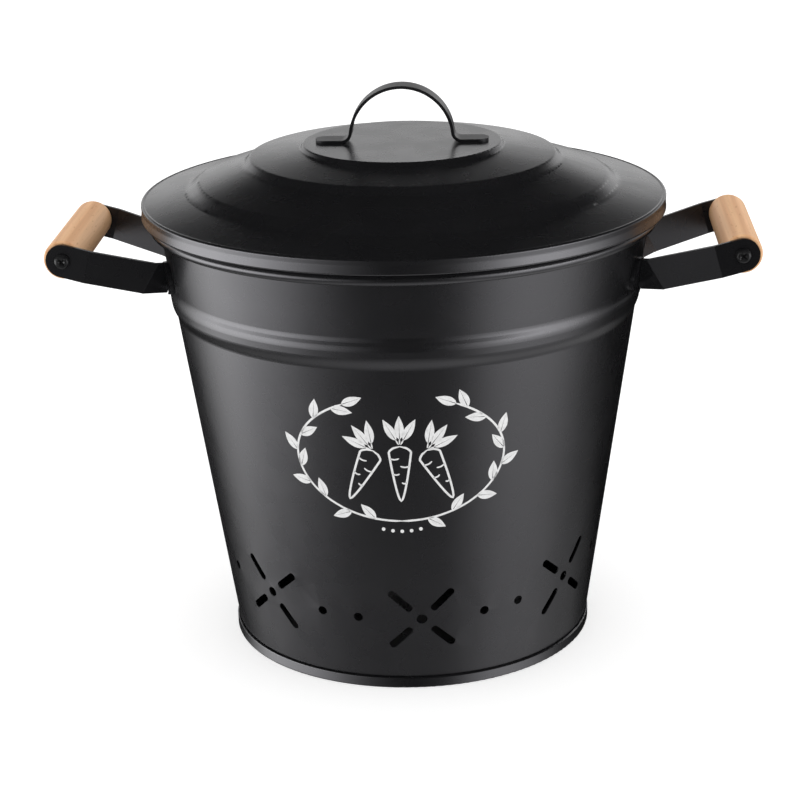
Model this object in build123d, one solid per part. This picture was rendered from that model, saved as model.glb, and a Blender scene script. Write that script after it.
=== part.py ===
from build123d import *
import math
import os

# Lidded steel bin for vegetables, with two wooden carrying grips.
# Millimetres. +Z is up, the front faces -Y and the origin is the centre of the foot.

# Sheet metal
sheet = 0.8             # thickness of the pressed sheet of the bin and the lid
seam_gap = 0.1          # room between sheets that are folded or welded together

# Bin wall, measured on its outside face
bin_height = 236.5      # floor to the top of the rolled rim
foot_radius = 97.2      # cone radius at floor level
mouth_radius = 131.3    # cone radius at the height of the rim's top
rim_roll = 3.2          # outer radius of the rolled rim
rim_curl = 315.0        # degrees of sheet in the roll
bead_height = 192.8     # middle of the bead that runs round the wall
bead_width = 15.0
bead_crest = 6.0        # width of the bead's flat crest
bead_depth = 1.6
bead_blend = 8.0
side_seam_width = 6.0   # flattened seam that joins the two wall sheets
side_seam_stand = 0.7

# Foot: a pressed pan whose edge is folded round the bottom of the wall
foot_height = 6.0
foot_ring_radius = 99.3
pan_lift = 4.0          # floor to the underside of the pan
pan_panel_rise = 1.5    # stiffening panel pressed into the pan
pan_panel_inset = 15.0
pan_panel_slope = 3.0
foot_round = 0.7

# Vents, struck along a straight line while each wall sheet was still flat
vent_height = 41.3
vent_turn = 5.7         # degrees from the front to the middle motif
vent_pitch = 48.5       # degrees between motifs
vent_dot_spread = 5.6   # degrees from the midway line to each dot between motifs
vent_slot_length = 16.0
vent_slot_width = 4.2
vent_slot_out = 15.6    # middle of the motif to the middle of a slot
vent_eye = 5.6          # diameter of the hole in the middle of a motif
vent_dot = 5.0          # diameter of the holes between motifs
motifs_each_side = 1    # motifs on each side of the middle one, on each wall sheet

# Lid: radii outwards from the middle, heights down from the flat top
lid_seat_gap = 0.3      # lid hem to the top of the rolled rim
lid_overhang = 3.6      # lid edge beyond the rolled rim
lid_edge_height = 8.6
lid_waist_height = 4.8  # hem to the hollow that runs round the edge
lid_waist_depth = 0.45
lid_crease_width = 2.2  # crease where the lowest tier meets the lip of the edge
lid_crease_drop = 0.45
lid_lip_rise = 0.25
lid_hem = 9.0           # width of the edge turned in under the lid
lid_rise = 27.2         # lid edge to the flat top
top_radius = 53.0
top_step_run = 1.4
top_step_drop = 2.4
upper_ridge_radius = 81.4
upper_ridge_drop = 6.1
upper_foot_run = 3.4
upper_foot_drop = 9.7
lower_ridge_radius = 109.4
lower_ridge_drop = 18.2
lower_foot_run = 5.4
lower_foot_drop = 22.5
top_round = 1.2
upper_ridge_round = 2.4
upper_foot_round = 5.0
lower_ridge_round = 8.0
crease_round = 0.5
lip_round = 1.2
waist_round = 4.0
hem_round = 1.0

# Collar under the lid that keeps it centred in the mouth
collar_depth = 12.0     # below the lid hem
collar_gap = 1.0        # to the inside of the wall
collar_flange = 8.0

# Strap handle on the lid
lid_strap_width = 13.0
lid_strap_thick = 1.6
lid_arch_radius = 27.2  # middle of the strap
lid_arch_height = 28.8  # middle of the strap, from its feet to its top
lid_foot_bend = 5.0
lid_foot_tip = 46.0     # middle of the lid to the tip of a foot
lid_foot_round = 5.6

# Carrying handles: two strap arms each, with a wooden grip between them
grip_reach = 177.0      # middle of the bin to the middle of the grip
grip_drop = 15.9        # grip below the top of the rim
grip_span = 92.0        # between the middles of the two arm ends
grip_radius = 10.3
grip_round = 1.2
grip_end_gap = 0.3
arm_width = 17.5
arm_thick = 2.0
arm_rise = 15.5         # degrees that an arm rises outwards
arm_splay = 14.5        # degrees that the arms spread towards the grip
arm_end_length = 13.0   # from the grip's middle to the bend of the arm's end
arm_fold_stand = 4.0    # outer fold beyond the wall
arm_fold_skew = 4.9
arm_fold_angle = 30.0   # degrees
arm_tab_length = 15.5
arm_tab_round = 7.5
arm_tab_rise = 14.0     # degrees that a tab rises away from its arm

# Screws through the arm ends into the grips
screw_shank = 4.0
screw_head = 8.0
screw_head_height = 2.3
screw_head_round = 1.7
screw_length = 20.0
screw_point = 3.0
screw_head_gap = 0.15
screw_fit = 0.1         # radial room in the arm
pilot_fit = 0.05        # radial room in the grip
pilot_room = 1.0        # beyond the screw's point

# Sizes that follow from those above
wall_slope = (mouth_radius - foot_radius) / bin_height
wall_tilt = math.atan(wall_slope)
sheet_across = sheet / math.cos(wall_tilt)
wall_bottom = sheet * (1 + wall_slope) + seam_gap
lid_seat = bin_height + lid_seat_gap
lid_edge_top = lid_seat + lid_edge_height
lid_top = lid_edge_top + lid_rise
grip_height = bin_height - grip_drop

search_step = 0.001     # where a search for a distance stops


def outside(z):
    """Radius of the wall's outside face, bead and rim apart."""
    return foot_radius + wall_slope * z


def inside(z):
    """Radius of the wall's inside face."""
    return outside(z) - sheet_across


roll_start_height = bin_height - rim_roll + rim_roll * math.sin(wall_tilt)
roll_middle_radius = inside(roll_start_height) + rim_roll * math.cos(wall_tilt)
lid_edge_radius = roll_middle_radius + rim_roll + lid_overhang


# Helpers for sheet metal

def moved_sideways(points, distance):
    """Corner points of a line that runs beside another, to its right."""
    result = []
    for index, point in enumerate(points):
        here = Vector(*point)
        before = Vector(*points[max(index - 1, 0)])
        after = Vector(*points[min(index + 1, len(points) - 1)])
        incoming = (here - before).normalized() if index > 0 else (after - here).normalized()
        outgoing = (after - here).normalized() if index < len(points) - 1 else incoming
        bisector = (incoming + outgoing).normalized()
        stretch = 1 / bisector.dot(incoming)
        result.append((here.X + bisector.Y * distance * stretch,
                       here.Y - bisector.X * distance * stretch))
    return result


def turn_at(points, index):
    """Positive where the line turns left at a corner."""
    incoming = Vector(*points[index]) - Vector(*points[index - 1])
    outgoing = Vector(*points[index + 1]) - Vector(*points[index])
    return incoming.cross(outgoing).Z


def rounds_beside(points, rounds, distance):
    """Corner radii of a line that runs beside another, to its right."""
    result = []
    for index, size in enumerate(rounds, start=1):
        result.append(size + math.copysign(distance, turn_at(points, index)))
    return result


def sheet_section(points, rounds, thickness=sheet, curl_radius=0, curl_angle=0):
    """Half section of one sheet. The points lie on its left face, as (radius, height)."""
    opposite = moved_sideways(points, thickness)
    opposite_rounds = rounds_beside(points, rounds, thickness)
    left = FilletPolyline(*points, radius=rounds)
    right = FilletPolyline(*opposite, radius=opposite_rounds)
    lines = [left, right, Line(left @ 0, right @ 0)]
    if curl_angle:
        left_curl = JernArc(left @ 1, left % 1, curl_radius, -curl_angle)
        right_curl = JernArc(right @ 1, right % 1, curl_radius - thickness, -curl_angle)
        lines += [left_curl, right_curl, Line(left_curl @ 1, right_curl @ 1)]
    else:
        lines.append(Line(left @ 1, right @ 1))
    return Plane.XZ * make_face(lines)


def spin(section, degrees=360, start=0):
    """Turn a half section about the middle of the bin, from a bearing off +X."""
    return Rot(0, 0, start) * revolve(section, Axis.Z, degrees)


# Bin wall

def wall_points():
    """Inside face of the wall, from the foot up to where the rim starts to roll."""
    low = bead_height - bead_width / 2
    high = bead_height + bead_width / 2
    crest = bead_crest / 2
    return [
        (inside(wall_bottom), wall_bottom),
        (inside(low), low),
        (inside(bead_height - crest) + bead_depth, bead_height - crest),
        (inside(bead_height + crest) + bead_depth, bead_height + crest),
        (inside(high), high),
        (inside(roll_start_height), roll_start_height),
    ]


def wall_bends(points):
    return [bead_blend] * (len(points) - 2)


def side_seam_section(points, bends):
    """Half section of the flattened seam, from the middle of the wall's sheet outwards."""
    seam_points = moved_sideways(points, sheet / 2)
    seam_bends = rounds_beside(points, bends, sheet / 2)
    low = foot_height + side_seam_stand
    high = bin_height - 2 * rim_roll - side_seam_stand
    seam_points[0] = (outside(low) - sheet_across / 2, low)
    seam_points[-1] = (outside(high) - sheet_across / 2, high)
    return sheet_section(seam_points, seam_bends, sheet / 2 + side_seam_stand)


def wall_sheet(start):
    """Half of the wall as one sheet, with half of each side seam at its ends."""
    points = wall_points()
    bends = wall_bends(points)
    section = sheet_section(points, bends, curl_radius=rim_roll, curl_angle=rim_curl)
    seam_section = side_seam_section(points, bends)
    seam_angle = math.degrees(side_seam_width / 2 / mouth_radius)
    wall = spin(section, 180, start)
    wall += spin(seam_section, seam_angle, start)
    wall += spin(seam_section, seam_angle, start + 180 - seam_angle)
    return wall


def vent_place(bearing):
    """Plane on the wall where a vent is struck, from degrees right of the sheet's middle."""
    flat_angle = math.radians(bearing) * math.sin(wall_tilt)
    apex_distance = outside(vent_height) / math.sin(wall_tilt)
    rise = (apex_distance / math.cos(flat_angle) - apex_distance) * math.cos(wall_tilt)
    height = vent_height + rise
    turn = math.radians(bearing)
    outward = Vector(math.sin(turn), -math.cos(turn), -wall_slope)
    along = Vector(math.cos(turn), math.sin(turn), 0)
    spot = Vector(math.sin(turn) * outside(height), -math.cos(turn) * outside(height), height)
    return Plane(spot, x_dir=along, z_dir=outward) * Rot(0, 0, math.degrees(flat_angle))


def vent_cutters():
    """Everything struck out of the front sheet."""
    strike = 4 * sheet
    slot = SlotOverall(vent_slot_length, vent_slot_width)
    motif = Circle(vent_eye / 2)
    for quarter in range(4):
        motif += Rot(0, 0, 45 + 90 * quarter) * Pos(vent_slot_out, 0) * slot
    cutters = []
    for number in range(-motifs_each_side, motifs_each_side + 1):
        bearing = vent_turn + number * vent_pitch
        cutters.append(extrude(vent_place(bearing) * motif, strike, both=True))
    for number in range(-motifs_each_side - 1, motifs_each_side + 1):
        midway = vent_turn + (number + 0.5) * vent_pitch
        for side in (-1, 1):
            place = vent_place(midway + side * vent_dot_spread)
            cutters.append(extrude(place * Circle(vent_dot / 2), strike, both=True))
    return cutters


def body_panels():
    front = wall_sheet(180) - vent_cutters()
    back = Rot(0, 0, 180) * front
    return front, back


# Foot

def base_pan():
    across = sheet_across
    inner = inside(pan_lift) - seam_gap - across
    rise_end = inner - pan_panel_inset
    rise_start = rise_end - pan_panel_slope
    low = pan_lift
    high = pan_lift + pan_panel_rise
    leg_top = pan_lift + sheet
    hem = FilletPolyline(
        (inside(0) - seam_gap - across, 0),
        (foot_ring_radius, 0),
        (foot_ring_radius, foot_height),
        (foot_ring_radius - sheet, foot_height),
        radius=foot_round,
    )
    pan = Polyline(
        hem @ 1,
        (foot_ring_radius - sheet, sheet),
        (inside(sheet) - seam_gap, sheet),
        (inside(leg_top) - seam_gap, leg_top),
        (rise_end, leg_top),
        (rise_start, high + sheet),
        (0, high + sheet),
        (0, high),
        (rise_start, high),
        (rise_end, low),
        (inner, low),
        hem @ 0,
    )
    return revolve(Plane.XZ * make_face([hem, pan]), Axis.Z)


# Lid

def lid_points():
    """Top face of the lid, from the middle out, round the edge and in under the hem."""
    edge = lid_edge_radius
    return [
        (0, lid_top),
        (top_radius, lid_top),
        (top_radius + top_step_run, lid_top - top_step_drop),
        (upper_ridge_radius, lid_top - upper_ridge_drop),
        (upper_ridge_radius + upper_foot_run, lid_top - upper_foot_drop),
        (lower_ridge_radius, lid_top - lower_ridge_drop),
        (lower_ridge_radius + lower_foot_run, lid_top - lower_foot_drop),
        (edge - lid_crease_width, lid_edge_top - lid_crease_drop),
        (edge, lid_edge_top + lid_lip_rise),
        (edge - lid_waist_depth, lid_seat + lid_waist_height),
        (edge, lid_seat),
        (edge - lid_hem, lid_seat),
    ]


def lid_shell():
    tiers = [top_round] * 2 + [upper_ridge_round, upper_foot_round] + [lower_ridge_round] * 2
    rounds = tiers + [crease_round, lip_round, waist_round, hem_round]
    return spin(sheet_section(lid_points(), rounds))


def under_lid(radius):
    """Height of the underside of the lid's outer tier."""
    points = lid_points()
    inner_radius, inner_height = points[6]
    outer_radius, outer_height = points[7]
    fall = (inner_height - outer_height) / (outer_radius - inner_radius)
    tilt = math.atan(fall)
    return inner_height - fall * (radius - inner_radius) - sheet / math.cos(tilt)


def lid_collar():
    bottom = lid_seat - collar_depth
    outer = inside(bottom) - collar_gap
    inner = outer - sheet
    flange = outer - collar_flange
    section = Polyline(
        (outer, bottom),
        (outer, under_lid(outer) - seam_gap),
        (flange, under_lid(flange) - seam_gap),
        (flange, under_lid(flange) - seam_gap - sheet),
        (inner, under_lid(inner) - seam_gap - sheet),
        (inner, bottom),
        close=True,
    )
    return revolve(Plane.XZ * make_face(section), Axis.Z)


def lid_strap_lines(shift):
    """Side view of one face of the lid's strap, a distance above the strap's middle."""
    foot_height_here = lid_top + lid_strap_thick / 2 + shift
    both_bends = lid_arch_radius + lid_foot_bend
    lean = math.asin(1 - lid_arch_height / both_bends)
    leg = both_bends * math.cos(lean)
    bend_angle = 90 - math.degrees(lean)
    foot = Line((-lid_foot_tip, foot_height_here), (-leg, foot_height_here))
    bend = JernArc(foot @ 1, foot % 1, lid_foot_bend - shift, bend_angle)
    arch = JernArc(bend @ 1, bend % 1, lid_arch_radius + shift, -2 * bend_angle)
    last_bend = JernArc(arch @ 1, arch % 1, lid_foot_bend - shift, bend_angle)
    last_foot = Line(last_bend @ 1, (lid_foot_tip, foot_height_here))
    return [foot, bend, arch, last_bend, last_foot]


def lid_handle():
    upper = lid_strap_lines(lid_strap_thick / 2)
    lower = lid_strap_lines(-lid_strap_thick / 2)
    tips = [Line(upper[0] @ 0, lower[0] @ 0), Line(upper[-1] @ 1, lower[-1] @ 1)]
    section = Plane.XZ * make_face(upper + lower + tips)
    strap = extrude(section, lid_strap_width / 2, both=True)
    return fillet(strap.edges().filter_by(Axis.Z), lid_foot_round)


# Carrying handles

def plate(corners):
    """Flat piece of strap with its middle plane through the corners."""
    face = make_face(Polyline(*corners, close=True))
    return extrude(face, arm_thick / 2, both=True)


def knuckle(low, high):
    """Rounded outside of a fold between two flat pieces of strap."""
    along = high - low
    return extrude(Plane(low, z_dir=along) * Circle(arm_thick / 2), along.length)


def distance_to_wall(start, direction):
    """Way from a point until the middle of the strap lies on the wall."""
    near, far = 0.0, grip_reach
    while far - near > search_step:
        middle = (near + far) / 2
        spot = start + direction * middle
        clear = math.hypot(spot.X, spot.Y) > outside(spot.Z) + seam_gap + arm_thick / 2
        near, far = (middle, far) if clear else (near, middle)
    return near


def arm():
    """Right front arm. The others are its mirror images."""
    rise = math.radians(arm_rise)
    end = Vector(grip_reach, -grip_span / 2, grip_height)
    inward = Vector(-math.cos(rise), 0, -math.sin(rise))
    across = Vector(-math.sin(rise), 0, math.cos(rise)) * (arm_width / 2)
    long_way = inward.rotate(Axis((0, 0, 0), across), -arm_splay)
    bend = end + inward * arm_end_length
    fold_radius = outside(grip_height) + arm_fold_stand
    fold = bend + long_way * ((bend.X - fold_radius) / -long_way.X)
    fold_half = across + long_way * (arm_fold_skew / 2)
    root_way = long_way.rotate(Axis((0, 0, 0), fold_half), -arm_fold_angle)
    root = fold + root_way * distance_to_wall(fold, root_way)

    pad_plane = Plane(end, x_dir=inward, z_dir=inward.cross(across))
    pad_shape = Pos(arm_end_length / 2, 0) * Rectangle(arm_end_length, arm_width)
    pad_shape += Circle(arm_width / 2)
    strap = extrude(pad_plane * pad_shape, arm_thick / 2, both=True)
    strap += plate([bend - across, bend + across, fold + fold_half, fold - fold_half])
    overrun = root + root_way * (2 * arm_thick)
    strap += plate([fold - fold_half, fold + fold_half, overrun + fold_half, overrun - fold_half])
    strap += knuckle(bend - across, bend + across)
    strap += knuckle(fold - fold_half, fold + fold_half)
    wall = solid_wall(0)
    strap -= wall

    radius = math.hypot(root.X, root.Y)
    bearing = math.atan2(root.Y, root.X) - arm_tab_length / 2 / radius
    outward = Vector(math.cos(bearing), math.sin(bearing), -wall_slope)
    spot = Vector(math.cos(bearing) * radius, math.sin(bearing) * radius, root.Z)
    tab_plane = Plane(spot, x_dir=Vector(math.sin(bearing), -math.cos(bearing), 0), z_dir=outward)
    tab_shape = RectangleRounded(2 * arm_tab_length, arm_width, arm_tab_round)
    tab_shape &= Pos(arm_tab_length / 2, 0) * Rectangle(arm_tab_length, arm_width)
    tab_place = tab_plane * Pos(-arm_tab_length / 2, 0) * Rot(0, 0, -arm_tab_rise)
    tab = extrude(tab_place * tab_shape, 4 * arm_thick, both=True)
    strap += (tab & solid_wall(arm_thick)) - wall
    hole = screw_shank / 2 + screw_fit
    strap -= extrude(pad_plane * Circle(hole), 2 * arm_thick, both=True)
    return strap


def solid_wall(extra):
    """The wall's outside with its bead as a solid, larger all round by an extra amount."""
    room = sheet + seam_gap + extra
    points = moved_sideways(wall_points(), room)
    bends = rounds_beside(wall_points(), wall_bends(wall_points()), room)
    outline = FilletPolyline(*points, radius=bends)
    closing = Polyline(outline @ 1, (0, (outline @ 1).Y), (0, (outline @ 0).Y), outline @ 0)
    return revolve(Plane.XZ * make_face([outline, closing]), Axis.Z)


def grip():
    """Right grip."""
    length = grip_span - arm_thick - 2 * grip_end_gap
    plane = Plane((grip_reach, 0, grip_height), x_dir=(1, 0, 0), z_dir=(0, 1, 0))
    dowel = extrude(plane * Circle(grip_radius), length / 2, both=True)
    dowel = fillet(dowel.edges().filter_by(GeomType.CIRCLE), grip_round)
    shank_in_grip = screw_length - arm_thick - screw_head_gap - grip_end_gap
    pilot_depth = shank_in_grip + pilot_room
    for side in (-1, 1):
        end = Plane((grip_reach, side * length / 2, grip_height), z_dir=(0, -side, 0))
        dowel -= extrude(end * Circle(screw_shank / 2 + pilot_fit), pilot_depth)
    return dowel


def screw():
    """Right front screw, turned about its own middle line."""
    half = screw_shank / 2
    head = screw_head / 2
    top = -screw_head_height
    head_line = FilletPolyline((0, top), (head, top), (head, 0), radius=screw_head_round)
    shank_line = Polyline((head, 0), (half, 0), (half, screw_length - screw_point),
                          (0, screw_length), (0, top))
    turned = revolve(make_face([head_line, shank_line]), Axis.Y)
    face = -(grip_span / 2 + arm_thick / 2 + screw_head_gap)
    return Pos(grip_reach, face, grip_height) * turned


def all_pieces():
    front, back = body_panels()
    pieces = {
        "body_front_panel": front,
        "body_back_panel": back,
        "base_pan": base_pan(),
        "lid_shell": lid_shell(),
        "lid_collar": lid_collar(),
        "lid_handle": lid_handle(),
        "right_grip": grip(),
        "left_grip": mirror(grip(), Plane.YZ),
    }
    for name, piece in (("handle_arm", arm()), ("grip_screw", screw())):
        pieces["right_front_" + name] = piece
        pieces["right_rear_" + name] = mirror(piece, Plane.XZ)
        pieces["left_front_" + name] = mirror(piece, Plane.YZ)
        pieces["left_rear_" + name] = Rot(0, 0, 180) * piece
    return pieces


if __name__ == "__main__":
    os.makedirs("parts", exist_ok=True)
    for name, piece in all_pieces().items():
        export_step(piece, "parts/" + name + ".step")
        print(name, "volume", round(piece.volume, 1))
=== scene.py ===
import math
import bmesh
import bpy
from mathutils import Matrix, Vector
from mathutils.bvhtree import BVHTree

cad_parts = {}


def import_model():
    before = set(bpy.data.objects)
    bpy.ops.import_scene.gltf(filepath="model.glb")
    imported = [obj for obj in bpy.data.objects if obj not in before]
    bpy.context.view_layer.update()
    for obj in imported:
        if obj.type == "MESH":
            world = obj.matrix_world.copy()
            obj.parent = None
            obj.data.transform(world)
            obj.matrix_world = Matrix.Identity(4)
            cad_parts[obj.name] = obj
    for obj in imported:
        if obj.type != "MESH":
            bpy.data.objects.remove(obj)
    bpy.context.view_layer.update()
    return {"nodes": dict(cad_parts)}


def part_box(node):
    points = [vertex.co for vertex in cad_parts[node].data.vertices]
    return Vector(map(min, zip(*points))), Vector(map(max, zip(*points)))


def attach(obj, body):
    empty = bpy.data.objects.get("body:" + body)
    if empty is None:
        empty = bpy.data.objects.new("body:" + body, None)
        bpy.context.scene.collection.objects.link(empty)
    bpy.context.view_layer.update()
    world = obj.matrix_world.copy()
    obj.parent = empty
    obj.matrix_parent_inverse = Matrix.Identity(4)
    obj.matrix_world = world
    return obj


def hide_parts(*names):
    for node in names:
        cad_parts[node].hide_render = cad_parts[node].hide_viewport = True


# Looks of the vegetable bin: powder coat, wood, screws and print, on a pale floor in soft light.
# Metres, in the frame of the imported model: +Z up, the front faces -Y.

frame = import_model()
nodes = frame["nodes"]
millimetre = 0.001

# Camera, at the angle of the photograph
camera_turn = math.radians(3.3)         # to the right of the front
camera_pitch = math.radians(18.76)      # looking down
camera_roll = math.radians(1.37)
camera_distance = 1.218
camera_lens = 99.2                      # mm
camera_sensor = 36                      # mm
look_sideways = -0.00441
look_height = 0.1271
nearest_seen = 0.01
farthest_seen = 50

# Floor and lamps
floor_radius = 3.0
floor_sides = 96
floor_colour = (0.9, 0.9, 0.9, 1)
floor_glow = 0.43                       # added white that only the camera and glass see
ambient = 0.90
lamp_out = 0.93                         # from the bin to the lamp on either side
lamp_forward = 0.30
lamp_aim = 0.16                         # height of the spot that the lamps point at
lamp_width = 0.6
lamp_power = 1.0
left_lamp_height = 0.17
left_lamp_tall = 0.3
right_lamp_height = 0.20
right_lamp_tall = 0.36

# What reflections see. Heights are sines of the angle above the horizon.
backdrop_top = 0.25
backdrop_blend = 0.10
backdrop_white = 1.08
backdrop_in_front = 0.04                # the room on the camera's side
backdrop_start = 0.1                    # how far a direction points back where the backdrop begins
table_white = 0.46                      # close to the object, so seen steeply
table_near = -0.95
table_far = -0.42
# Pale cards on the table. Bearings are degrees to the right of the front, with a share of the brightness.
card_edge = 0.08
left_card_low = -0.61
left_card_high = -0.30
left_card_brightness = 4.1
left_card_bearings = (
    (-180, 0), (-152, 0), (-130, 0.08), (-112, 0.56), (-95, 1.0), (-78, 0.97), (-62, 0.87),
    (-46, 0.49), (-30, 0.18), (-14, 0.03), (2, 0), (180, 0),
)
right_card_low = -0.74
right_card_high = -0.22
right_card_brightness = 2.5
right_card_bearings = (
    (-180, 0), (2, 0), (16, 0.023), (30, 0.20), (44, 0.77), (58, 1.0), (72, 0.875), (86, 0.63),
    (100, 0.235), (118, 0), (180, 0),
)
low_card_far = -0.40                    # flat on the table at the right, near the object
low_card_near = -0.56
low_card_brightness = 0.25
low_card_bearings = (
    (-180, 0), (30, 0), (55, 0.6), (75, 0.8), (107, 1.0), (130, 1.0), (144, 0.4), (160, 0.1), (180, 0),
)
window_low = -0.06                      # brighter parts of the room above the cards
window_high = 0.10
window_edge = 0.08
window_brightness = 5.0
window_bearings = (
    (-180, 0), (-130, 0.03), (-105, 0.25), (-80, 0.45), (-55, 0.25), (-30, 0.03), (25, 0.03),
    (45, 0.40), (65, 1.0), (85, 0.60), (105, 0.08), (125, 0), (180, 0),
)

# Noises: blobs per metre, detail and, for wood, the scale along each axis
coat_cloud = (25.0, 3.0)
coat_smear = (60.0, 2.0)
coat_grain = (1100.0, 2.0)
wood_fibre = (700.0, 3.0, (1, 0.03, 1))
wood_fleck = (900.0, 1.0, (1, 0.18, 1))
wood_pores = (900.0, 2.0, (1, 0.05, 1))
screw_cloud = (300.0, 2.0)
ink_cloud = (400.0, 3.0)
ink_grain = (1500.0, 2.0)
noise_low = 0.3                         # a noise is mostly between these two
noise_high = 0.7

# Growth rings of the wood
ring_scale = 55.0
ring_detail = 2.0
ring_detail_scale = 0.6
ring_waviness = 2.5
ring_stretch = (1, 0.05, 1)
ring_slant = math.radians(25)

# Colours over a noise or a pattern: from where, and which
coat_colours = ((noise_low, (0.0056, 0.0056, 0.0062)), (noise_high, (0.0080, 0.0080, 0.0088)))
screw_colours = ((noise_low, (0.010, 0.010, 0.011)), (noise_high, (0.022, 0.022, 0.023)))
ink_colours = ((noise_low, (0.80, 0.80, 0.80)), (0.6, (0.92, 0.92, 0.92)))
ring_colours = ((0.2, (0.94, 0.56, 0.30)), (0.6, (0.90, 0.515, 0.27)), (0.9, (0.84, 0.46, 0.235)))
fibre_colours = ((0.35, (0.88, 0.84, 0.78)), (0.65, (1, 1, 1)))
fleck_colours = ((0.66, (1, 1, 1)), (0.74, (0.72, 0.60, 0.50)))
fibre_share = 0.7
fleck_share = 0.6

# Finishes. A bump is its height and its strength.
coat_ior = 1.8
coat_tint = (0.955, 0.945, 1.0, 1)      # of its reflections
coat_roughness = 0.275
coat_roughness_spread = 0.015
coat_bump = (0.03 * millimetre, 0.3)
sheet_gloss = 0.5
strap_gloss = 0.3                       # the arms and the lid's handle
lid_handle_roughness = 0.4
wood_roughness = (0.48, 0.58)
wood_bump = (0.04 * millimetre, 0.3)
screw_metallic = 0.3
screw_roughness = (0.28, 0.38)
ink_roughness = (0.5, 0.62)
ink_bump = (0.02 * millimetre, 0.4)

# Screws
recess_length = 5.0 * millimetre
recess_width = 1.1 * millimetre
recess_depth = 1.5 * millimetre
recess_taper = 0.45
weld_distance = 0.001 * millimetre
sharp_angle = math.radians(35)

# Print on the front
print_height = 135 * millimetre         # floor to the middle of the print
print_turn = math.radians(0.8)          # from the front to the middle of the print
ink_thickness = 0.12 * millimetre
outside_wall = 0.2                      # a distance from the middle that is clear of the wall
# The drawing, in millimetres and degrees
line_width = 1.1
fine_line = 0.8
wreath_width = 54.0
wreath_height = 35.0
wreath_gap = 62.0                       # left open at the top of the wreath
leaves_each_side = 9
leaf_lean = 38                          # from the stem to a leaf
leaf_length = 11.0
leaf_width = 4.8
leaf_belly = 0.8                        # below 1, a leaf is widest nearer to its foot
leaf_vein = 0.16
leaf_edge = 0.05
carrot_length = 31.0
carrot_width = 12.0
carrot_crown = 0.10                     # share of the length that rounds off the top
carrot_taper = 0.62                     # below 1, a carrot stays wide nearer to its tip
carrot_gap = 13.5
carrot_fan = 26.0                       # between carrots
carrot_rise = 7.5                       # middle of the print to the middle carrot's crown
carrot_drop = 2.5                       # the outer carrots hang lower
# Marks on a carrot: share of its length, side, share of the half width that they cross
carrot_marks = ((0.22, -1, 0.9), (0.36, 1, 1.0), (0.50, -1, 0.9), (0.66, 1, 0.8))
mark_sag = 0.6
top_fan = 28                            # between the leaves of a carrot's top
top_lean = 1.4                          # of a top, as a share of its carrot's lean
top_stalk = (1.2, 2.6, 4.0)             # points of a stalk, from the crown
top_leaf_length = 13.0
top_leaf_width = 4.4
dots_each_side = 2
dot_size = 2.0
dot_gap = 5.0
dot_drop = 6                            # below the wreath
dot_curve = 0.3


def photo_camera():
    out = Vector((math.sin(camera_turn), -math.cos(camera_turn), 0))
    right = Vector((math.cos(camera_turn), math.sin(camera_turn), 0))
    level = -out
    forward = level * math.cos(camera_pitch) - Vector((0, 0, 1)) * math.sin(camera_pitch)
    up = level * math.sin(camera_pitch) + Vector((0, 0, 1)) * math.cos(camera_pitch)
    rolled_right = right * math.cos(camera_roll) - up * math.sin(camera_roll)
    rolled_up = right * math.sin(camera_roll) + up * math.cos(camera_roll)
    target = right * look_sideways + Vector((0, 0, look_height))
    place = target - forward * camera_distance
    data = bpy.data.cameras.new("photo_camera")
    data.lens = camera_lens
    data.sensor_width = camera_sensor
    data.clip_start = nearest_seen
    data.clip_end = farthest_seen
    camera = bpy.data.objects.new("photo_camera", data)
    axes = Matrix((rolled_right, rolled_up, -forward)).transposed().to_4x4()
    camera.matrix_world = Matrix.Translation(place) @ axes
    bpy.context.scene.collection.objects.link(camera)
    bpy.context.scene.camera = camera


# Shader nodes

def new_material(name):
    material = bpy.data.materials.new(name)
    material.use_nodes = True
    tree = material.node_tree
    shader = tree.nodes["Principled BSDF"]
    return material, tree, shader


def math_node(tree, operation, first, second):
    node = tree.nodes.new("ShaderNodeMath")
    node.operation = operation
    for socket, value in zip(node.inputs, (first, second)):
        if isinstance(value, (int, float)):
            socket.default_value = value
        else:
            tree.links.new(value, socket)
    return node.outputs[0]


def ramp(tree, source, stops):
    node = tree.nodes.new("ShaderNodeValToRGB")
    elements = node.color_ramp.elements
    while len(elements) < len(stops):
        elements.new(0.5)
    for element, (position, colour) in zip(elements, stops):
        element.position = position
        element.color = (*colour, 1)
    tree.links.new(source, node.inputs["Fac"])
    return node.outputs["Color"]


def stretched_coords(tree, stretch, turn=0.0):
    """Places in the object's own space, scaled and then turned about its Y axis."""
    coords = tree.nodes.new("ShaderNodeTexCoord")
    mapping = tree.nodes.new("ShaderNodeMapping")
    mapping.inputs["Scale"].default_value = stretch
    mapping.inputs["Rotation"].default_value = (0, turn, 0)
    tree.links.new(coords.outputs["Object"], mapping.inputs["Vector"])
    return mapping.outputs["Vector"]


def noise_at(tree, scale, detail, stretch=(1, 1, 1)):
    node = tree.nodes.new("ShaderNodeTexNoise")
    node.inputs["Scale"].default_value = scale
    node.inputs["Detail"].default_value = detail
    tree.links.new(stretched_coords(tree, stretch), node.inputs["Vector"])
    return node.outputs["Fac"]


def growth_rings(tree):
    """Bands of early and late wood that run along the grip."""
    node = tree.nodes.new("ShaderNodeTexWave")
    node.inputs["Scale"].default_value = ring_scale
    node.inputs["Distortion"].default_value = ring_waviness
    node.inputs["Detail"].default_value = ring_detail
    node.inputs["Detail Scale"].default_value = ring_detail_scale
    tree.links.new(stretched_coords(tree, ring_stretch, ring_slant), node.inputs["Vector"])
    return node.outputs["Fac"]


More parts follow.
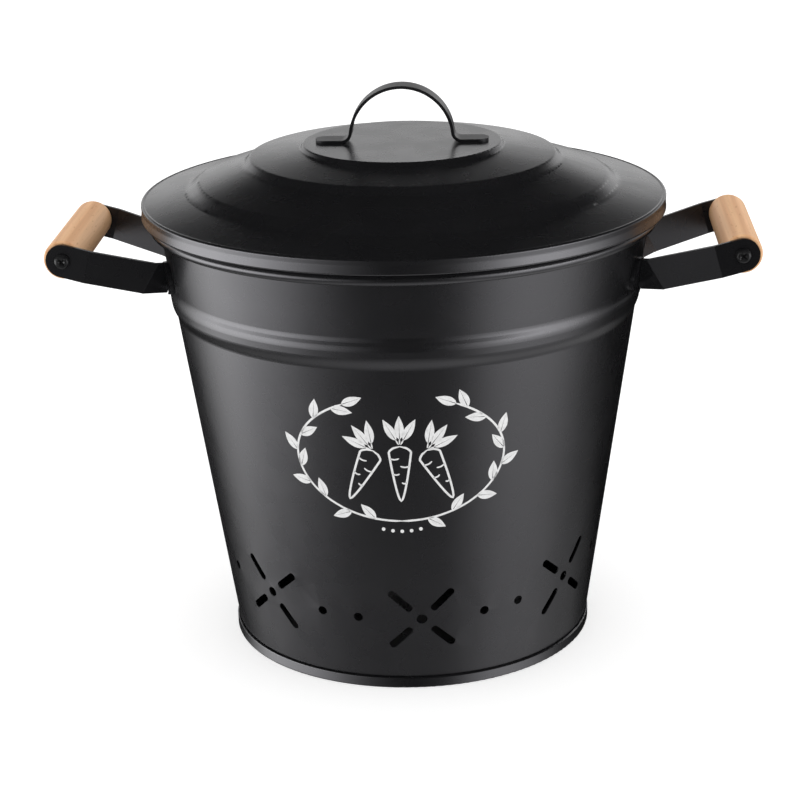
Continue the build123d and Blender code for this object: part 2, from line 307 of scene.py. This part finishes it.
def spread(tree, source, low, high):
    """Maps the middle of a noise to a range."""
    node = tree.nodes.new("ShaderNodeMapRange")
    node.inputs["From Min"].default_value = noise_low
    node.inputs["From Max"].default_value = noise_high
    node.inputs["To Min"].default_value = low
    node.inputs["To Max"].default_value = high
    tree.links.new(source, node.inputs["Value"])
    return node.outputs["Result"]


def multiplied(tree, share, first, second):
    """The first colour, multiplied by a share of the second."""
    node = tree.nodes.new("ShaderNodeMix")
    node.data_type = "RGBA"
    node.blend_type = "MULTIPLY"
    node.inputs["Factor"].default_value = share
    tree.links.new(first, node.inputs["A"])
    tree.links.new(second, node.inputs["B"])
    return node.outputs["Result"]


def bump(tree, shader, source, height, strength):
    node = tree.nodes.new("ShaderNodeBump")
    node.inputs["Distance"].default_value = height
    node.inputs["Strength"].default_value = strength
    tree.links.new(source, node.inputs["Height"])
    tree.links.new(node.outputs["Normal"], shader.inputs["Normal"])


# Materials

def powder_coat(name, gloss, roughness):
    material, tree, shader = new_material(name)
    colour = ramp(tree, noise_at(tree, *coat_cloud), coat_colours)
    tree.links.new(colour, shader.inputs["Base Color"])
    low = roughness - coat_roughness_spread
    high = roughness + coat_roughness_spread
    smear = spread(tree, noise_at(tree, *coat_smear), low, high)
    tree.links.new(smear, shader.inputs["Roughness"])
    shader.inputs["IOR"].default_value = coat_ior
    shader.inputs["Specular IOR Level"].default_value = gloss
    shader.inputs["Specular Tint"].default_value = coat_tint
    bump(tree, shader, noise_at(tree, *coat_grain), *coat_bump)
    return material


def beech():
    material, tree, shader = new_material("beech")
    rings = ramp(tree, growth_rings(tree), ring_colours)
    fibre = noise_at(tree, *wood_fibre)
    colour = multiplied(tree, fibre_share, rings, ramp(tree, fibre, fibre_colours))
    fleck = noise_at(tree, *wood_fleck)
    colour = multiplied(tree, fleck_share, colour, ramp(tree, fleck, fleck_colours))
    tree.links.new(colour, shader.inputs["Base Color"])
    tree.links.new(spread(tree, fibre, *wood_roughness), shader.inputs["Roughness"])
    bump(tree, shader, noise_at(tree, *wood_pores), *wood_bump)
    return material


def screw_black():
    material, tree, shader = new_material("screw_black")
    cloud = noise_at(tree, *screw_cloud)
    tree.links.new(ramp(tree, cloud, screw_colours), shader.inputs["Base Color"])
    shader.inputs["Metallic"].default_value = screw_metallic
    tree.links.new(spread(tree, cloud, *screw_roughness), shader.inputs["Roughness"])
    return material


def print_ink():
    material, tree, shader = new_material("print_ink")
    cloud = noise_at(tree, *ink_cloud)
    tree.links.new(ramp(tree, cloud, ink_colours), shader.inputs["Base Color"])
    tree.links.new(spread(tree, cloud, *ink_roughness), shader.inputs["Roughness"])
    bump(tree, shader, noise_at(tree, *ink_grain), *ink_bump)
    return material


def dress(names, material):
    for name in names:
        mesh = nodes[name].data
        mesh.materials.clear()
        mesh.materials.append(material)


def add_piece(name, mesh, material, body):
    mesh.materials.clear()
    mesh.materials.append(material)
    piece = bpy.data.objects.new(name, mesh)
    bpy.context.scene.collection.objects.link(piece)
    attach(piece, body)
    return piece


# Screws with a cross recess

def recess_cutter(face, inward):
    """Cross-shaped punch that narrows as it goes in from the face of a screw's head."""
    half_long = recess_length / 2
    half_wide = recess_width / 2
    corners = []
    for quarter in range(4):
        turn = Matrix.Rotation(math.radians(45 + 90 * quarter), 3, "Y")
        for x, z in ((-half_wide, half_wide), (-half_wide, half_long), (half_wide, half_long)):
            corners.append(turn @ Vector((x, 0, z)))
    shape = bmesh.new()
    rings = []
    for depth, size in ((-recess_depth, 1.0), (0, 1.0), (recess_depth, recess_taper)):
        shift = face + Vector((0, inward * depth, 0))
        rings.append([shape.verts.new(shift + corner * size) for corner in corners])
    count = len(corners)
    for ring, following in zip(rings, rings[1:]):
        for i in range(count):
            j = (i + 1) % count
            shape.faces.new((ring[i], ring[j], following[j], following[i]))
    shape.faces.new(rings[0])
    shape.faces.new(list(reversed(rings[-1])))
    bmesh.ops.recalc_face_normals(shape, faces=shape.faces)
    mesh = bpy.data.meshes.new("recess")
    shape.to_mesh(mesh)
    shape.free()
    return mesh


def welded(mesh):
    """Copy of a mesh with the doubled points along its seams joined."""
    shape = bmesh.new()
    shape.from_mesh(mesh)
    bmesh.ops.remove_doubles(shape, verts=shape.verts, dist=weld_distance)
    copy = bpy.data.meshes.new("welded")
    shape.to_mesh(copy)
    shape.free()
    return copy


def detailed_screw(name, body, material):
    low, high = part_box(name)
    front = (low[1] + high[1]) / 2 < 0
    face = Vector(((low[0] + high[0]) / 2, low[1] if front else high[1], (low[2] + high[2]) / 2))
    cutter = bpy.data.objects.new("recess", recess_cutter(face, 1 if front else -1))
    blank = bpy.data.objects.new("blank", welded(nodes[name].data))
    for piece in (cutter, blank):
        bpy.context.scene.collection.objects.link(piece)
    cut = blank.modifiers.new("recess", "BOOLEAN")
    cut.object = cutter
    cut.operation = "DIFFERENCE"
    cut.solver = "EXACT"
    bpy.context.view_layer.update()
    mesh = bpy.data.meshes.new_from_object(blank.evaluated_get(bpy.context.evaluated_depsgraph_get()))
    for piece in (cutter, blank):
        bpy.data.objects.remove(piece)
    mesh.shade_smooth()
    mesh.set_sharp_from_angle(angle=sharp_angle)
    screw = add_piece(name.replace("grip_screw", "cross_screw"), mesh, material, body)
    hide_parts(name)


# Print

class Drawing:
    """Flat shapes, in millimetres, that are then laid on the wall of the bin."""

    def __init__(self):
        self.points = []
        self.faces = []

    def ribbon(self, line, widths):
        """A stroke along a line. Each width goes with one point."""
        start = len(self.points)
        for index, point in enumerate(line):
            before = line[max(index - 1, 0)]
            after = line[min(index + 1, len(line) - 1)]
            along = (after - before).normalized()
            across = Vector((-along.y, along.x)) * (widths[index] / 2)
            self.points += [point - across, point, point + across]
        for index in range(len(line) - 1):
            for side in (0, 1):
                corner = start + 3 * index + side
                self.faces.append((corner, corner + 3, corner + 4, corner + 1))

    def line(self, line, width=line_width):
        """An even stroke that narrows at its two ends."""
        widths = [width] * len(line)
        widths[0] = widths[-1] = width / 2
        self.ribbon(line, widths)

    def dot(self, middle, size):
        start = len(self.points)
        steps = 16
        self.points.append(middle)
        for step in range(steps):
            angle = 2 * math.pi * step / steps
            self.points.append(middle + Vector((math.cos(angle), math.sin(angle))) * size / 2)
        for step in range(steps):
            self.faces.append((start, start + 1 + step, start + 1 + (step + 1) % steps))


def turned(point, degrees):
    angle = math.radians(degrees)
    return Vector((point.x * math.cos(angle) - point.y * math.sin(angle),
                   point.x * math.sin(angle) + point.y * math.cos(angle)))


def draw_leaf(drawing, foot, direction, length=leaf_length, width=leaf_width):
    """Two halves of a pointed leaf, with a bare vein between them."""
    steps = 10
    for side in (-1, 1):
        line = []
        widths = []
        for step in range(steps + 1):
            share = step / steps
            half = width / 2 * math.sin(math.pi * share ** leaf_belly)
            vein = leaf_vein * (1 - share)
            line.append(foot + turned(Vector((length * share, side * (half / 2 + vein))), direction))
            widths.append(max(half, leaf_edge))
        drawing.ribbon(line, widths)


def draw_sprig(drawing, side):
    """Half of the wreath, from the middle below up to the open top."""
    steps = 40
    sweep = math.radians(180 - wreath_gap / 2)
    stem = []
    for step in range(steps + 1):
        angle = sweep * step / steps
        stem.append(Vector((side * wreath_width * math.sin(angle), -wreath_height * math.cos(angle))))
    drawing.line(stem)
    for number in range(leaves_each_side):
        index = round(steps * (number + 1) / (leaves_each_side + 0.5))
        along = stem[index] - stem[index - 1]
        heading = math.degrees(math.atan2(along.y, along.x))
        lean = leaf_lean if number % 2 else -leaf_lean
        draw_leaf(drawing, stem[index], heading + lean)
    tip = stem[-1] - stem[-2]
    draw_leaf(drawing, stem[-1], math.degrees(math.atan2(tip.y, tip.x)))


def carrot_half_width(share):
    """Half width of a carrot, from its crown at 0 to its tip at 1."""
    return carrot_width / 2 * math.sqrt(min(share / carrot_crown, 1)) * (1 - share) ** carrot_taper


def draw_carrot(drawing, foot, lean):
    """Outline of a carrot with its crown at the foot point, with short marks and a leafy top."""
    steps = 36
    outline = []
    for step in range(-steps, steps + 1):
        share = 1 - abs(step) / steps
        half = math.copysign(carrot_half_width(share), step)
        outline.append(foot + turned(Vector((half, -carrot_length * share)), lean))
    drawing.line(outline)
    mark_steps = 6
    for share, side, reach in carrot_marks:
        half = carrot_half_width(share)
        mark = []
        for step in range(mark_steps + 1):
            across = side * half * (1 - reach * step / mark_steps)
            drop = mark_sag * math.sin(math.pi * step / mark_steps)
            mark.append(foot + turned(Vector((across, -carrot_length * share - drop)), lean))
        drawing.line(mark, fine_line)
    for turn in (-top_fan, 0, top_fan):
        heading = 90 - top_lean * lean + turn
        stalk = [foot + turned(Vector((reach, 0)), heading) for reach in top_stalk]
        drawing.line(stalk, fine_line)
        draw_leaf(drawing, stalk[-1], heading, top_leaf_length, top_leaf_width)


def front_drawing():
    """Wreath of leaves round three carrots, over a row of dots."""
    drawing = Drawing()
    for side in (-1, 1):
        draw_sprig(drawing, side)
    for number in (-1, 0, 1):
        foot = Vector((number * carrot_gap, carrot_rise - carrot_drop * abs(number)))
        draw_carrot(drawing, foot, number * carrot_fan)
    for number in range(-dots_each_side, dots_each_side + 1):
        height = -wreath_height - dot_drop + dot_curve * number ** 2
        drawing.dot(Vector((number * dot_gap, height)), dot_size)
    return drawing


def front_print(material):
    """The drawing as a coat of ink on the front of the bin."""
    drawing = front_drawing()
    wall = BVHTree.FromObject(nodes["body_front_panel"], bpy.context.evaluated_depsgraph_get())
    spot, _, _, _ = wall.ray_cast(Vector((0, -outside_wall, print_height)), Vector((0, 1, 0)))
    wall_radius = -spot.y
    points = []
    for point in drawing.points:
        height = print_height + point.y * millimetre
        turn = print_turn + point.x * millimetre / wall_radius
        outward = Vector((math.sin(turn), -math.cos(turn), 0))
        spot, normal, _, _ = wall.ray_cast(outward * outside_wall + Vector((0, 0, height)), -outward)
        points.append(spot + normal * (ink_thickness / 2))
    mesh = bpy.data.meshes.new("front_print")
    mesh.from_pydata(points, [], drawing.faces)
    mesh.update()
    piece = add_piece("front_print", mesh, material, "bin")
    ink = piece.modifiers.new("thickness", "SOLIDIFY")
    ink.thickness = ink_thickness
    ink.offset = 0


# Stage

def light_path(tree, *names):
    """1 for a ray of any of the named kinds."""
    path = tree.nodes.new("ShaderNodeLightPath")
    result = path.outputs[names[0]]
    for name in names[1:]:
        result = math_node(tree, "MAXIMUM", result, path.outputs[name])
    return result


def floor():
    data = bpy.data.meshes.new("floor")
    corners = []
    for number in range(floor_sides):
        angle = 2 * math.pi * number / floor_sides
        corners.append((floor_radius * math.cos(angle), floor_radius * math.sin(angle), 0))
    data.from_pydata(corners, [], [list(range(floor_sides))])
    material, tree, shader = new_material("floor")
    shader.inputs["Base Color"].default_value = floor_colour
    shader.inputs["Roughness"].default_value = 1.0
    shader.inputs["Specular IOR Level"].default_value = 0.0
    glow = math_node(tree, "MULTIPLY", light_path(tree, "Is Camera Ray", "Is Transmission Ray"), floor_glow)
    tree.links.new(glow, shader.inputs["Emission Strength"])
    shader.inputs["Emission Color"].default_value = (1, 1, 1, 1)
    data.materials.append(material)
    piece = bpy.data.objects.new("floor", data)
    piece.visible_glossy = False
    bpy.context.scene.collection.objects.link(piece)


def lamp(name, sideways, height, tall):
    """Soft light beside the bin and a little in front of it."""
    data = bpy.data.lights.new(name, "AREA")
    data.shape = "RECTANGLE"
    data.size = lamp_width
    data.size_y = tall
    data.energy = lamp_power
    piece = bpy.data.objects.new(name, data)
    place = Vector((sideways, -lamp_forward, height))
    aim = Vector((0, 0, lamp_aim)) - place
    piece.location = place
    piece.rotation_euler = aim.to_track_quat("-Z", "Y").to_euler()
    piece.visible_glossy = False        # reflections see the room of the world instead
    bpy.context.scene.collection.objects.link(piece)


def smooth_step(tree, source, start, end, height=1.0):
    """Rises smoothly from 0 where the source is at the start to a height at the end."""
    node = tree.nodes.new("ShaderNodeMapRange")
    node.interpolation_type = "SMOOTHSTEP"
    node.inputs["From Min"].default_value = start
    node.inputs["From Max"].default_value = end
    node.inputs["To Max"].default_value = height
    tree.links.new(source, node.inputs["Value"])
    return node.outputs["Result"]


def bearing_share(tree, sideways, depth):
    """Bearing of a reflection, from 0 at the back over the left, 0.5 at the front and the right to 1."""
    bearing = math_node(tree, "ARCTAN2", sideways, math_node(tree, "MULTIPLY", depth, -1.0))
    share = math_node(tree, "MULTIPLY_ADD", bearing, 0.5 / math.pi)
    share.node.inputs[2].default_value = 0.5
    return share


def lit_patch(tree, share, height, bearings, brightest, start, end):
    """A bright part of the room, which begins at one height and is full at another."""
    stops = [(degrees / 360 + 0.5, (level, level, level)) for degrees, level in bearings]
    colour = ramp(tree, share, stops)
    colour.node.color_ramp.interpolation = "CARDINAL"
    across = math_node(tree, "MULTIPLY", math_node(tree, "MAXIMUM", colour, 0.0), brightest)
    return math_node(tree, "MULTIPLY", across, smooth_step(tree, height, start, end))


def room_brightness(tree):
    """How bright a reflection is, by the direction that it looks in."""
    coords = tree.nodes.new("ShaderNodeTexCoord")
    parts = tree.nodes.new("ShaderNodeSeparateXYZ")
    tree.links.new(coords.outputs["Generated"], parts.inputs[0])
    sideways, depth, height = parts.outputs
    bearing = bearing_share(tree, sideways, depth)

    rising = smooth_step(tree, height, -backdrop_blend, 0.0, backdrop_white)
    falling = smooth_step(tree, height, backdrop_top + backdrop_blend, backdrop_top)
    behind = smooth_step(tree, depth, backdrop_start, 1.0, 1 - backdrop_in_front)
    behind = math_node(tree, "ADD", behind, backdrop_in_front)
    backdrop = math_node(tree, "MULTIPLY", math_node(tree, "MULTIPLY", rising, falling), behind)

    windows = lit_patch(tree, bearing, height, window_bearings, window_brightness,
                        window_low - window_edge, window_low + window_edge)
    below = smooth_step(tree, height, window_high + window_edge, window_high - window_edge)
    windows = math_node(tree, "MULTIPLY", windows, below)

    left_card = lit_patch(tree, bearing, height, left_card_bearings, left_card_brightness,
                          left_card_low, left_card_high)
    right_card = lit_patch(tree, bearing, height, right_card_bearings, right_card_brightness,
                           right_card_low, right_card_high)
    cards = math_node(tree, "ADD", left_card, right_card)
    cards = math_node(tree, "MULTIPLY", cards, smooth_step(tree, height, card_edge, -card_edge))
    low_card = lit_patch(tree, bearing, height, low_card_bearings, low_card_brightness,
                         low_card_far, low_card_near)
    table = smooth_step(tree, height, table_far, table_near, table_white)
    lower = math_node(tree, "ADD", math_node(tree, "MAXIMUM", table, cards), low_card)
    return math_node(tree, "ADD", math_node(tree, "ADD", backdrop, windows), lower)


def background(tree, strength):
    node = tree.nodes.new("ShaderNodeBackground")
    node.inputs["Color"].default_value = (1, 1, 1, 1)
    if isinstance(strength, float):
        node.inputs["Strength"].default_value = strength
    else:
        tree.links.new(strength, node.inputs["Strength"])
    return node.outputs[0]


def mixed(tree, share, first, second):
    """The first shader where the share is 0, the second where it is 1."""
    node = tree.nodes.new("ShaderNodeMixShader")
    for socket, source in zip(node.inputs, (share, first, second)):
        tree.links.new(source, socket)
    return node.outputs[0]


def world():
    """Even light, a room that only reflections see, and a white backdrop for the camera."""
    data = bpy.data.worlds.new("studio")
    data.use_nodes = True
    tree = data.node_tree
    tree.nodes.clear()
    room = background(tree, room_brightness(tree))
    lit = mixed(tree, light_path(tree, "Is Glossy Ray"), background(tree, ambient), room)
    seen = light_path(tree, "Is Camera Ray", "Is Transmission Ray")
    output = tree.nodes.new("ShaderNodeOutputWorld")
    tree.links.new(mixed(tree, seen, lit, background(tree, 1.0)), output.inputs["Surface"])
    bpy.context.scene.world = data


sheet_parts = ["body_front_panel", "body_back_panel", "base_pan", "lid_shell", "lid_collar"]
arms = [name for name in nodes if name.endswith("_arm")]
dress(sheet_parts, powder_coat("powder_coat", sheet_gloss, coat_roughness))
dress(arms, powder_coat("arm_coat", strap_gloss, coat_roughness))
dress(["lid_handle"], powder_coat("handle_coat", strap_gloss, lid_handle_roughness))
dress(["right_grip", "left_grip"], beech())
screw_finish = screw_black()
for side in ("right", "left"):
    for end in ("front", "rear"):
        detailed_screw(side + "_" + end + "_grip_screw", side + "_handle", screw_finish)
front_print(print_ink())

photo_camera()
floor()
world()
lamp("left_softbox", -lamp_out, left_lamp_height, left_lamp_tall)
lamp("right_softbox", lamp_out, right_lamp_height, right_lamp_tall)
bpy.context.scene.view_settings.view_transform = "Standard"
